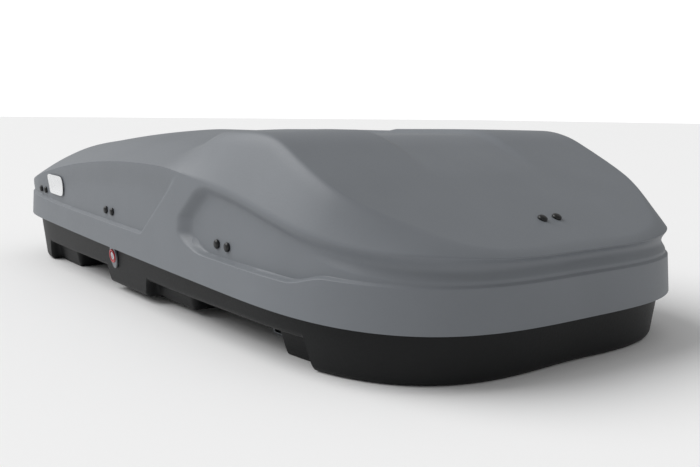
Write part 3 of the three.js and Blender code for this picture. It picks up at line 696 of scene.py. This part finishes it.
class ROOFBOX_OT_lock(bpy.types.Operator):
    """Builds the oval lock plate, its coloured ring and the key barrel"""
    bl_idname = "roofbox.lock"
    bl_label = "Lock"

    def execute(self, context):
        settings = context.scene.roof_box.fittings
        inset = base_inset(LOCK_Z)
        centre = to_part(np.array([LOCK_X, float(-(half_width(LOCK_X) - inset)), LOCK_Z], float))
        lean = math.atan(BASE_DRAFT)
        out = to_part_way((0, -math.cos(lean), -math.sin(lean)))
        plate = oval_plate(17.2, 29.2, 10.2, 0.4, 4.8)
        ring = lathe([(r * MM, d * MM) for r, d in (
            (10.6, 2), (15.6, 2), (15.6, 6.6), (15.2, 7.3), (14.6, 7.6), (12.4, 7.6), (11.6, 7.2),
            (11.0, 6.2), (10.6, 4.0))], centre, out, 64)
        barrel = lathe([(r * MM, d * MM) for r, d in (
            (9.1, -12), (9.1, 5.8), (8.8, 6.5), (8.2, 6.8), (5.6, 6.8), (5.4, 6.4), (3.0, 6.4))],
            centre, out, 48)
        turn = Matrix((Vector((1, 0, 0)), out.cross(Vector((1, 0, 0))), out)).transposed()
        points, faces = plate
        placed = points @ np.array(turn).T + centre
        # the plate is dull cast metal, the ring shiny red plastic, the barrel bright plating
        finish_piece(merged("lock_plate", [(placed, faces)]),
                     metal("die_cast_zinc", settings.lock_colour, 0.42, 0.002), "base",
                     "lock_housing", slot="grey_metal")
        finish_piece(merged("lock_colour_ring", [ring]),
                     moulded("red_nylon_ring", settings.ring_colour, 0.0012, 0.00002, 0.3,
                             coat=0.2),
                     "base", "lock_ring", slot="red_plastic")
        slit = key_slot(centre, out)
        finish_piece(merged("key_barrel", [barrel, slit]),
                     metal("nickel_plated_brass", linear("c9ccd0"), 0.22, 0.0015), "lock_cylinder",
                     "lock_barrel", slot="bright_metal")
        eased_copy("lock_cam", dark_steel(), "lock_cylinder")
        return {"FINISHED"}


def oval_plate(half_x, half_z, hole, low, high):
    """An oval plate with a rounded rim and a round hole above its middle, flat side down. The two
    outlines have equal counts of points, so rings between them close the faces."""
    angle = np.linspace(0, 2 * math.pi, 96, endpoint=False)
    oval = np.stack([half_x * np.cos(angle), half_z * np.sin(angle)], -1)
    round_hole = np.stack([hole * np.cos(angle), hole * np.sin(angle)], -1)
    rows = [(oval, low)]
    for a in np.linspace(0, math.pi / 2, 6):
        shrink = 1.6 * (1 - math.cos(a))
        rows.append((oval * (1 - shrink / half_z), high - 1.6 + 1.6 * math.sin(a)))
    crown = high + 0.15
    rows += [(mix(oval * 0.9, round_hole, 0.4), crown), (mix(oval * 0.9, round_hole, 0.85), crown),
             (round_hole, high - 0.4), (round_hole, low)]
    points = np.vstack([np.column_stack([p, np.full(len(p), z)]) for p, z in rows]) * MM
    faces = grid_faces(len(rows), len(angle)).tolist()
    ring = np.arange(len(angle))
    nxt = (ring + 1) % len(angle)
    last = (len(rows) - 1) * len(angle)
    faces += np.stack([ring + last, nxt + last, nxt, ring], -1).tolist()
    return points, faces


def key_slot(centre, out):
    """The key slot's guide: a raised bar of 1.8 by 8.4 mm across the barrel's face, 1 mm tall."""
    side = Vector((1, 0, 0))
    up = out.cross(side)
    base = Vector(centre) + out * 6.2 * MM
    corners = []
    for depth in (0, 1.0):
        for a, b in ((-1, -1), (1, -1), (1, 1), (-1, 1)):
            corners.append(base + side * a * 0.9 * MM + up * b * 4.2 * MM + out * depth * MM)
    faces = [[3, 2, 1, 0], [4, 5, 6, 7], [0, 1, 5, 4], [1, 2, 6, 5], [2, 3, 7, 6], [3, 0, 4, 7]]
    return np.array([list(c) for c in corners]), faces


class ROOFBOX_OT_badge(bpy.types.Operator):
    """Builds the plain badge plate that follows the wall"""
    bl_idname = "roofbox.badge"
    bl_label = "Badge"

    def execute(self, context):
        # a rounded rectangle as a squared oval: x and z follow cosine and sine to a small power
        angle = np.linspace(0, 2 * math.pi, 96, endpoint=False)
        power = 0.28
        cx = np.sign(np.cos(angle)) * np.abs(np.cos(angle)) ** power
        cz = np.sign(np.sin(angle)) * np.abs(np.sin(angle)) ** power
        half_x, half_z = BADGE_WIDTH / 2, BADGE_HEIGHT / 2
        rows = [(0.97, 2.5), (1.0, 2.8), (1.0, 4.0), (0.985, 4.5), (0.96, 4.6), (0.93, 4.3),
                (0.9, 4.3), (0.6, 4.3), (0.3, 4.3), (0.02, 4.3)]
        grid = []
        for share, out in rows:
            x = BADGE_X + half_x * cx * share
            z = BADGE_Z + half_z * cz * share
            grid.append(np.stack([x, -(half_width(x) - wall_inset(x, z) + out), z], -1))
        points = np.vstack(grid)
        faces = grid_faces(len(rows), len(angle)).tolist()
        faces += [list(range(len(angle)))[::-1],
                  list(range((len(rows) - 1) * len(angle), len(rows) * len(angle)))]
        settings = context.scene.roof_box.fittings
        finish_piece(merged("badge_face", [(to_part(points), faces)]),
                     # a smooth white plate with a soft shine
                     moulded("white_acrylic", settings.badge_colour, 0.003, 0.00001, 0.28,
                             drift=0.02), "lid", "badge_plate", slot="badge")
        return {"FINISHED"}


class ROOFBOX_OT_edging(bpy.types.Operator):
    """Builds the rubber edging on the base's lip"""
    bl_idname = "roofbox.edging"
    bl_label = "Edging"

    def execute(self, context):
        columns = make_columns(240, lambda x: np.ones_like(x))
        # a bulb section round the rim, a squared oval of inset from the outline and height
        around = 20
        angle = np.linspace(0, 2 * math.pi, around, endpoint=False)
        power = 0.55
        inset = 22 + 3.4 * np.sign(np.cos(angle)) * np.abs(np.cos(angle)) ** power
        height = 15.2 + 2.8 * np.sign(np.sin(angle)) * np.abs(np.sin(angle)) ** power
        points = np.stack([columns["x"] + columns["in_x"] * inset[:, None],
                           columns["y"] + columns["in_y"] * inset[:, None],
                           np.broadcast_to(height[:, None], (around, len(columns["x"])))], -1)
        count = len(columns["x"])
        faces = grid_faces(around, count).tolist()
        ring = np.arange(count)
        nxt = (ring + 1) % count
        last = (around - 1) * count
        faces += np.stack([last + ring, last + nxt, nxt, ring], -1).tolist()
        piece = merged("edge_seal", [(to_part(points.reshape(-1, 3)), faces)])
        settings = context.scene.roof_box.shells
        # matt black rubber with hardly any shine
        look = moulded("extruded_epdm_rubber", settings.trim_colour, 0.0012, 0.00003, 0.7)
        finish_piece(piece, look, "base", "edge_trim", slot="rubber_edge")
        return {"FINISHED"}


class ROOFBOX_OT_hardware(bpy.types.Operator):
    """Finishes hinges, latches, struts' brackets and the nose bracket"""
    bl_idname = "roofbox.hardware"
    bl_label = "Hinges and latches"

    def execute(self, context):
        for n in (1, 2, 3):
            eased_copy(f"hinge_base_leaf_{n}", zinc(), "base")
            eased_copy(f"hinge_lid_leaf_{n}", painted_steel(), "lid")
            eased_copy(f"hinge_pin_{n}", zinc(), "base", 0.0003)
            eased_copy(f"striker_{n}", painted_steel(), "lid")
            eased_copy(f"latch_claw_{n}", zinc(), "latch_bar")
        eased_copy("latch_bar", dark_steel(), "latch_bar")
        eased_copy("nose_bracket", painted_steel(), "lid")
        for n in (1, 2):
            eased_copy(f"strut_base_bracket_{n}", zinc(), "base")
            eased_copy(f"strut_lid_bracket_{n}", zinc(), "lid")
        return {"FINISHED"}


class ROOFBOX_OT_struts(bpy.types.Operator):
    """Builds the gas struts: painted tube with rolled ends, and polished rod"""
    bl_idname = "roofbox.struts"
    bl_label = "Gas struts"

    def execute(self, context):
        for n, x in enumerate(STRUT_X, 1):
            foot, head = ((x, *STRUT_FOOT), (x, *STRUT_HEAD))
            start = to_part(np.array(foot, float))
            way = to_part_way(np.array(head, float) - np.array(foot, float))
            length = way.length
            side = to_part_way((1, 0, 0))
            tube = lathe([(r * MM, d * MM) for r, d in (
                (5, 4), (5, 16), (7.4, 17), (8.7, 19), (9, 22), (9, 143), (8.9, 145), (8.2, 147.5),
                (6.4, 149.4), (4.3, 149.8), (4.25, 140))], start, way, 40)
            eye = lathe([(r * MM, d * MM) for r, d in rounded_profile(7.1, -8, 8, 1, 1)],
                        start, side, 32)
            pin = lathe([(r * MM, d * MM) for r, d in rounded_profile(3.5, -13, 13, 0.6, 0.6)],
                        start, side, 24)
            finish_piece(merged(f"strut_cylinder_{n}", [tube, eye, pin]), painted_steel(),
                         f"strut_tube_{n}", f"strut_tube_{n}", slot="black_paint")
            rod = lathe([(r * MM, d * MM) for r, d in (
                (3.4, 34), (4, 35), (4, length - 9), (3.4, length - 7), (3.4, length - 4))],
                start, way, 32)
            end = to_part(np.array(head, float))
            hoop = lathe([(r * MM, d * MM) for r, d in (
                (4.6, -6), (6.2, -6), (7.1, -5.1), (7.1, 5.1), (6.2, 6), (4.6, 6), (4.6, -6))],
                end, side, 32)
            hoop = (hoop[0], [f for f in hoop[1] if len(f) == 4])
            # a mirror-bright shaft
            finish_piece(merged(f"strut_shaft_{n}", [rod, hoop]),
                         bpy.data.materials.get("hard_chromed_rod")
                         or metal("hard_chromed_rod", linear("d3d6da"), 0.1, 0.001),
                         f"strut_rod_{n}", f"strut_rod_{n}", slot="bright_metal")
        return {"FINISHED"}


class ROOFBOX_OT_clamps(bpy.types.Operator):
    """Builds the roof-bar clamps: lobed knob, plate and hooked claw"""
    bl_idname = "roofbox.clamps"
    bl_label = "Bar clamps"

    def execute(self, context):
        settings = context.scene.roof_box.fittings
        # dark red and half matt, with a fine grain in the grip
        nylon = moulded("red_glass_filled_nylon", settings.knob_colour, 0.0016, 0.00004, 0.4)
        for n in (1, 2, 3, 4):
            low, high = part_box(f"clamp_knob_{n}")
            centre = ((low.x + high.x) / 2, (low.y + high.y) / 2, 0)
            top = high.z
            radius = (high.x - low.x) / 2
            grip = [(s * radius, top - d * MM) for s, d in (
                (0.62, 21.8), (0.9, 21.6), (0.98, 20), (1.0, 17), (1.0, 6), (0.98, 3.4),
                (0.92, 1.6), (0.8, 0.5), (0.62, 0.1), (0.3, 0.9), (0.05, 1.0))]
            body = lathe(grip, centre, (0, 0, 1), 96,
                         wobble=lambda a: 1 - 0.1 * (0.5 - 0.5 * np.cos(6 * a)) ** 2)
            screw = lathe([(0.0034, low.z), (0.004, low.z + 0.0008), (0.004, top - 0.02)],
                          centre, (0, 0, 1), 24)
            finish_piece(merged(f"knob_{n}", [body, screw]), nylon, f"clamp_knob_{n}",
                         f"clamp_knob_{n}", slot="red_plastic")
            eased_copy(f"clamp_plate_{n}", dark_steel(), "base", 0.0008)
            eased_copy(f"clamp_claw_{n}", zinc(), f"clamp_claw_{n}", 0.001)
        return {"FINISHED"}


class ROOFBOX_OT_straps(bpy.types.Operator):
    """Builds the luggage straps and their buckles"""
    bl_idname = "roofbox.straps"
    bl_label = "Straps"

    def execute(self, context):
        settings = context.scene.roof_box.fittings
        # dark, dull ribs of thread; the buckles are smoother and catch a soft light
        cloth = webbing("polyester_webbing", settings.strap_colour, 0.0022)
        plastic = moulded("black_acetal", linear("151618"), 0.0014, 0.00003, 0.35)
        for n in (1, 2):
            low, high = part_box(f"strap_{n}")
            # a flat ribbon whose top bows by 0.3 mm between thin selvedges
            across = np.array(
                [-1, -0.97, -0.9, -0.5, 0, 0.5, 0.9, 0.97, 1, 0.97, 0.5, -0.5, -0.97])
            rise = np.array([0.5, 0.85, 1, 0.9, 0.88, 0.9, 1, 0.85, 0.5, 0, 0, 0, 0])
            rows, count = 60, len(across)
            along = np.linspace(low.y, high.y, rows)
            ripple = 0.0002 * np.sin(along * 40)
            px = (low.x + high.x) / 2 + across * (high.x - low.x) / 2
            px = np.broadcast_to(px, (rows, count))
            pz = low.z + rise * (high.z - low.z) + np.where(rise > 0.6, 1, 0) * ripple[:, None]
            py = np.broadcast_to(along[:, None], px.shape)
            points = np.stack([px, py, pz], -1).reshape(-1, 3)
            faces = grid_faces(rows, count).tolist()
            faces += [list(range(count))[::-1], list(range((rows - 1) * count, rows * count))]
            piece = merged(f"strap_webbing_{n}", [(points, faces)], 50)
            give_strap_uv(piece.data)
            finish_piece(piece, cloth, "base", f"strap_{n}", slot="webbing")
            eased_copy(f"strap_buckle_{n}", plastic, "base", 0.0012)
        return {"FINISHED"}


def give_strap_uv(mesh):
    """A flat UV in metres, straight down onto the strap."""
    layer = mesh.uv_layers.new(name="cloth")
    corner = np.zeros(len(mesh.loops), int)
    mesh.loops.foreach_get("vertex_index", corner)
    co = np.zeros(len(mesh.vertices) * 3)
    mesh.vertices.foreach_get("co", co)
    layer.data.foreach_set("uv", co.reshape(-1, 3)[corner][:, :2].ravel())


class ROOFBOX_OT_stage(bpy.types.Operator):
    """Sets the pale floor, the soft lamps, the world and the camera"""
    bl_idname = "roofbox.stage"
    bl_label = "Stage"

    def execute(self, context):
        settings = context.scene.roof_box.stage
        half = 60.0
        floor = mesh_piece("studio_floor", np.array([
            (-half, -half, 0), (half, -half, 0), (half, half, 0), (-half, half, 0)], float),
            [[0, 1, 2, 3]])
        # an even, matt white sheet
        floor.data.materials.append(
            moulded("white_studio_floor", settings.floor_colour, 0.5, 0.0001, 0.9, 0.0))
        world = bpy.data.worlds.new("studio")
        world.use_nodes = True
        back = world.node_tree.nodes["Background"]
        back.inputs["Color"].default_value = (1, 1, 1, 1)
        seen = world.node_tree.nodes.new("ShaderNodeLightPath").outputs["Is Camera Ray"]
        level = world.node_tree.nodes.new("ShaderNodeMapRange")
        level.inputs["To Min"].default_value = settings.sky
        level.inputs["To Max"].default_value = BACKDROP
        world.node_tree.links.new(seen, level.inputs["Value"])
        world.node_tree.links.new(level.outputs[0], back.inputs["Strength"])
        context.scene.world = world
        context.scene.view_settings.view_transform = "Standard"
        key = bpy.data.lights.new("key_lamp", "SUN")
        key.energy, key.angle = settings.key_power, math.radians(KEY_SPREAD)
        lamp = bpy.data.objects.new("key_lamp", key)
        lamp.rotation_euler = Vector(KEY_FROM).to_track_quat("Z", "Y").to_euler()
        context.scene.collection.objects.link(lamp)
        camera = bpy.data.cameras.new("camera")
        camera.sensor_width = 36
        camera.lens = settings.lens
        camera.clip_start, camera.clip_end = 0.05, 300
        viewer = bpy.data.objects.new("camera", camera)
        context.scene.collection.objects.link(viewer)
        context.scene.camera = viewer
        ahead = Vector((-math.cos(CAMERA_YAW) * math.cos(CAMERA_PITCH),
                        -math.sin(CAMERA_YAW) * math.cos(CAMERA_PITCH), -math.sin(CAMERA_PITCH)))
        right = ahead.cross(Vector((0, 0, 1))).normalized()
        up = right.cross(ahead)
        c, s = math.cos(CAMERA_ROLL), math.sin(CAMERA_ROLL)
        right, up = right * c + up * s, up * c - right * s
        turn = Matrix([to_part_way(v) for v in (right, up, -ahead)]).transposed()
        place = to_part(np.array(CAMERA_PLACE, float))
        viewer.matrix_world = Matrix.Translation(Vector(place)) @ turn.to_4x4()
        return {"FINISHED"}


class ROOFBOX_PT_panel(bpy.types.Panel):
    """Lists the settings and the build steps"""
    bl_idname = "ROOFBOX_PT_panel"
    bl_label = "Roof Box"
    bl_space_type = "VIEW_3D"
    bl_region_type = "UI"
    bl_category = "Roof Box"

    def draw(self, context):
        settings = context.scene.roof_box
        for group in (settings.shells, settings.fittings, settings.stage):
            box = self.layout.box()
            for key in group.__annotations__:
                box.prop(group, key)
        for step in STEPS:
            self.layout.operator(step.bl_idname)


STEPS = (ROOFBOX_OT_stage, ROOFBOX_OT_lid, ROOFBOX_OT_base, ROOFBOX_OT_edging, ROOFBOX_OT_fixings,
         ROOFBOX_OT_lock, ROOFBOX_OT_badge, ROOFBOX_OT_hardware, ROOFBOX_OT_struts,
         ROOFBOX_OT_clamps, ROOFBOX_OT_straps)
CLASSES = (ShellSettings, FittingSettings, StageSettings, RoofBoxSettings, *STEPS, ROOFBOX_PT_panel)


def register():
    for cls in CLASSES:
        bpy.utils.register_class(cls)
    bpy.types.Scene.roof_box = bpy.props.PointerProperty(
        name="Roof box", description="Settings of the roof box", type=RoofBoxSettings)


def unregister():
    del bpy.types.Scene.roof_box
    for cls in reversed(CLASSES):
        bpy.utils.unregister_class(cls)


def main():
    register()
    for step in STEPS:
        family, action = step.bl_idname.split(".")
        getattr(getattr(bpy.ops, family), action)()


if __name__ == "__main__":
    main()
